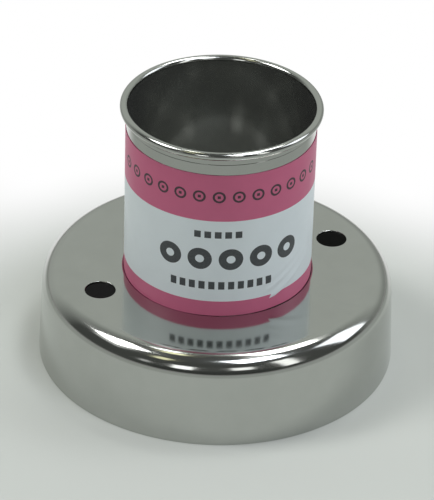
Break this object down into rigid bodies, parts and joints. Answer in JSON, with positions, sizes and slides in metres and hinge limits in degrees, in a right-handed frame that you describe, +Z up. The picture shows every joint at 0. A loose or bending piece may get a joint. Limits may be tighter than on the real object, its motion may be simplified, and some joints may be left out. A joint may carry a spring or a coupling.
{
  "type": "doughnut cutter",
  "caption": "Stainless steel doughnut cutter: an upturned cup with a flared cutting skirt and vent holes, and a tube with a curled rim that is the grip above and cuts the hole below.",
  "frame": {"origin": "on the tube's axis, in the plane of the cutting edges that the cutter stands on", "axes": "+Z up along the tube's axis, -Y towards the front of the paper band"},
  "size_m": [0.082, 0.082, 0.0644],
  "materials": {
    "polished_steel": "polished stainless steel, close to a mirror, with a faint haze",
    "printed_paper": "thin coated paper, white with a pink band along each edge"
  },
  "bodies": {
    "root": {"outer_cutter": "polished_steel", "center_tube": "polished_steel", "label_wrap": "printed_paper"}
  },
  "joints": []
}
